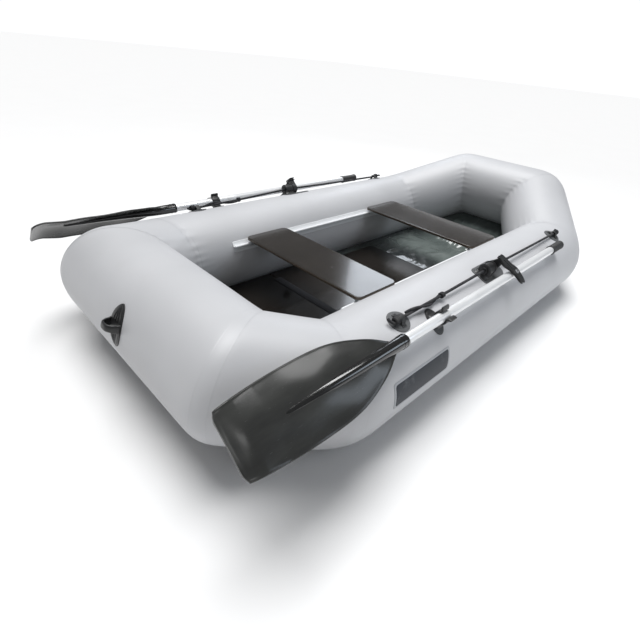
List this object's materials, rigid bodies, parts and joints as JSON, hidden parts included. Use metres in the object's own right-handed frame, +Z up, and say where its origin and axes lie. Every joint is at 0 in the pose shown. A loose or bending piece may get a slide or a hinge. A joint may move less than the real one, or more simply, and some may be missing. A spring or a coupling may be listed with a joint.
{
  "type": "inflatable dinghy",
  "caption": "Inflatable rowing dinghy with a raised octagonal tube ring, sliding bench seats, plywood floorboards and oars in swivel rowlocks.",
  "frame": {"origin": "under the middle of the bounding box, on the surface the side tubes rest on", "axes": "+X to the bow, +Y to port, +Z up"},
  "size_m": [2.5764, 1.3926, 0.5193],
  "materials": {
    "hull_pvc": "satin PVC-coated fabric",
    "inner_pvc": "satin",
    "sheet_pvc": "glossy, creased",
    "plywood": "film-faced, glossy",
    "webbing": "woven",
    "rail_pvc": "satin",
    "bare_aluminium": "extruded",
    "patch_pvc": "satin",
    "black_rubber": "moulded",
    "valve_plastic": "moulded",
    "bolt_steel": "turned",
    "oar_aluminium": "satin anodised",
    "blade_plastic": "glossy moulded",
    "rope_cord": "braided",
    "badge": "satin print"
  },
  "bodies": {
    "hull": {"stern_corner_tube_starboard": "hull_pvc", "side_tube_starboard": "hull_pvc", "bow_corner_tube_starboard": "hull_pvc", "bow_tube": "hull_pvc", "bow_corner_tube_port": "hull_pvc", "side_tube_port": "hull_pvc", "stern_corner_tube_port": "hull_pvc", "stern_tube": "hull_pvc", "bow_bulkhead": "inner_pvc", "stern_bulkhead": "inner_pvc", "bottom_sheet": "sheet_pvc", "floorboard_aft": "plywood", "floorboard_middle": "plywood", "floor_hinge_strip_aft": "webbing", "floor_hinge_strip_fore": "webbing", "seat_rail_starboard": "rail_pvc", "seat_rail_port": "rail_pvc", "rowlock_patch_starboard": "patch_pvc", "rowlock_patch_port": "patch_pvc", "lacing_eye_aft_starboard": "patch_pvc", "lacing_eye_aft_port": "patch_pvc", "lacing_eye_fore_starboard": "patch_pvc", "lacing_eye_fore_port": "patch_pvc", "rowlock_block_starboard": "black_rubber", "rowlock_block_port": "black_rubber", "oar_clip_pad_starboard": "black_rubber", "oar_clip_pad_port": "black_rubber", "oar_clip_arms_starboard": "black_rubber", "oar_clip_arms_port": "black_rubber", "stern_handle": "black_rubber", "stern_handle_patch": "black_rubber", "bow_handle": "black_rubber", "bow_handle_patch": "black_rubber", "valve_body_starboard": "valve_plastic", "valve_body_port": "valve_plastic", "rope_starboard": "rope_cord", "rope_port": "rope_cord", "side_badge_starboard": "badge", "side_badge_port": "badge"},
    "aft_seat": {"seat_aft": "plywood", "seat_aft_channel_starboard": "bare_aluminium", "seat_aft_channel_port": "bare_aluminium"},
    "fore_seat": {"seat_fore": "plywood", "seat_fore_channel_starboard": "bare_aluminium", "seat_fore_channel_port": "bare_aluminium"},
    "lifting_floorboard": {"floorboard_fore": "plywood"},
    "swivel_starboard": {"rowlock_swivel_starboard": "black_rubber", "rowlock_pivot_bolt_starboard": "bolt_steel"},
    "cap_starboard": {"valve_cap_starboard": "valve_plastic"},
    "plunger_starboard": {"valve_plunger_starboard": "valve_plastic"},
    "oar_starboard": {"oar_shaft_starboard": "oar_aluminium", "oar_blade_starboard": "blade_plastic", "oar_grip_starboard": "black_rubber"},
    "swivel_port": {"rowlock_swivel_port": "black_rubber", "rowlock_pivot_bolt_port": "bolt_steel"},
    "cap_port": {"valve_cap_port": "valve_plastic"},
    "plunger_port": {"valve_plunger_port": "valve_plastic"},
    "oar_port": {"oar_shaft_port": "oar_aluminium", "oar_blade_port": "blade_plastic", "oar_grip_port": "black_rubber"}
  },
  "joints": [
    {"name": "aft_seat_slide", "type": "slide", "parent": "hull", "child": "aft_seat", "axis": [1, 0, 0], "range_m": [-0.06, 0.26]},
    {"name": "fore_seat_slide", "type": "slide", "parent": "hull", "child": "fore_seat", "axis": [1, 0, 0], "range_m": [-0.26, 0.025]},
    {"name": "floorboard_lift", "type": "hinge", "parent": "hull", "child": "lifting_floorboard", "pos_m": [-0.0815, 0, 0.0567], "axis": [0, -1, 0], "range_deg": [0, 25], "deforming": ["floor_hinge_strip_fore"]},
    {"name": "rowlock_dip_starboard", "type": "hinge", "parent": "hull", "child": "swivel_starboard", "pos_m": [-0.116, -0.56044, 0.37108], "axis": [-1, 0, 0], "range_deg": [0, 40], "deforming": ["oar_clip_arms_starboard"]},
    {"name": "oar_swing_starboard", "type": "hinge", "parent": "swivel_starboard", "child": "oar_starboard", "pos_m": [-0.08, -0.62199, 0.35084], "axis": [0, -0.6143, 0.7891], "range_deg": [0, 92]},
    {"name": "rowlock_dip_port", "type": "hinge", "parent": "hull", "child": "swivel_port", "pos_m": [-0.116, 0.56044, 0.37108], "axis": [1, 0, 0], "range_deg": [0, 40], "deforming": ["oar_clip_arms_port"]},
    {"name": "oar_swing_port", "type": "hinge", "parent": "swivel_port", "child": "oar_port", "pos_m": [-0.08, 0.62199, 0.35084], "axis": [0, -0.6143, -0.7891], "range_deg": [0, 92]},
    {"name": "cap_turn_starboard", "type": "hinge", "parent": "hull", "child": "cap_starboard", "pos_m": [-0.359, -0.309, 0.18], "axis": [0, 1, 0], "range_deg": [0, 90]},
    {"name": "plunger_push_starboard", "type": "slide", "parent": "hull", "child": "plunger_starboard", "axis": [0, -1, 0], "range_m": [0, 0.004], "stiffness_N_per_m": 900, "springref_m": -0.002},
    {"name": "cap_turn_port", "type": "hinge", "parent": "hull", "child": "cap_port", "pos_m": [-0.359, 0.309, 0.18], "axis": [0, -1, 0], "range_deg": [0, 90]},
    {"name": "plunger_push_port", "type": "slide", "parent": "hull", "child": "plunger_port", "axis": [0, 1, 0], "range_m": [0, 0.004], "stiffness_N_per_m": 900, "springref_m": -0.002}
  ]
}
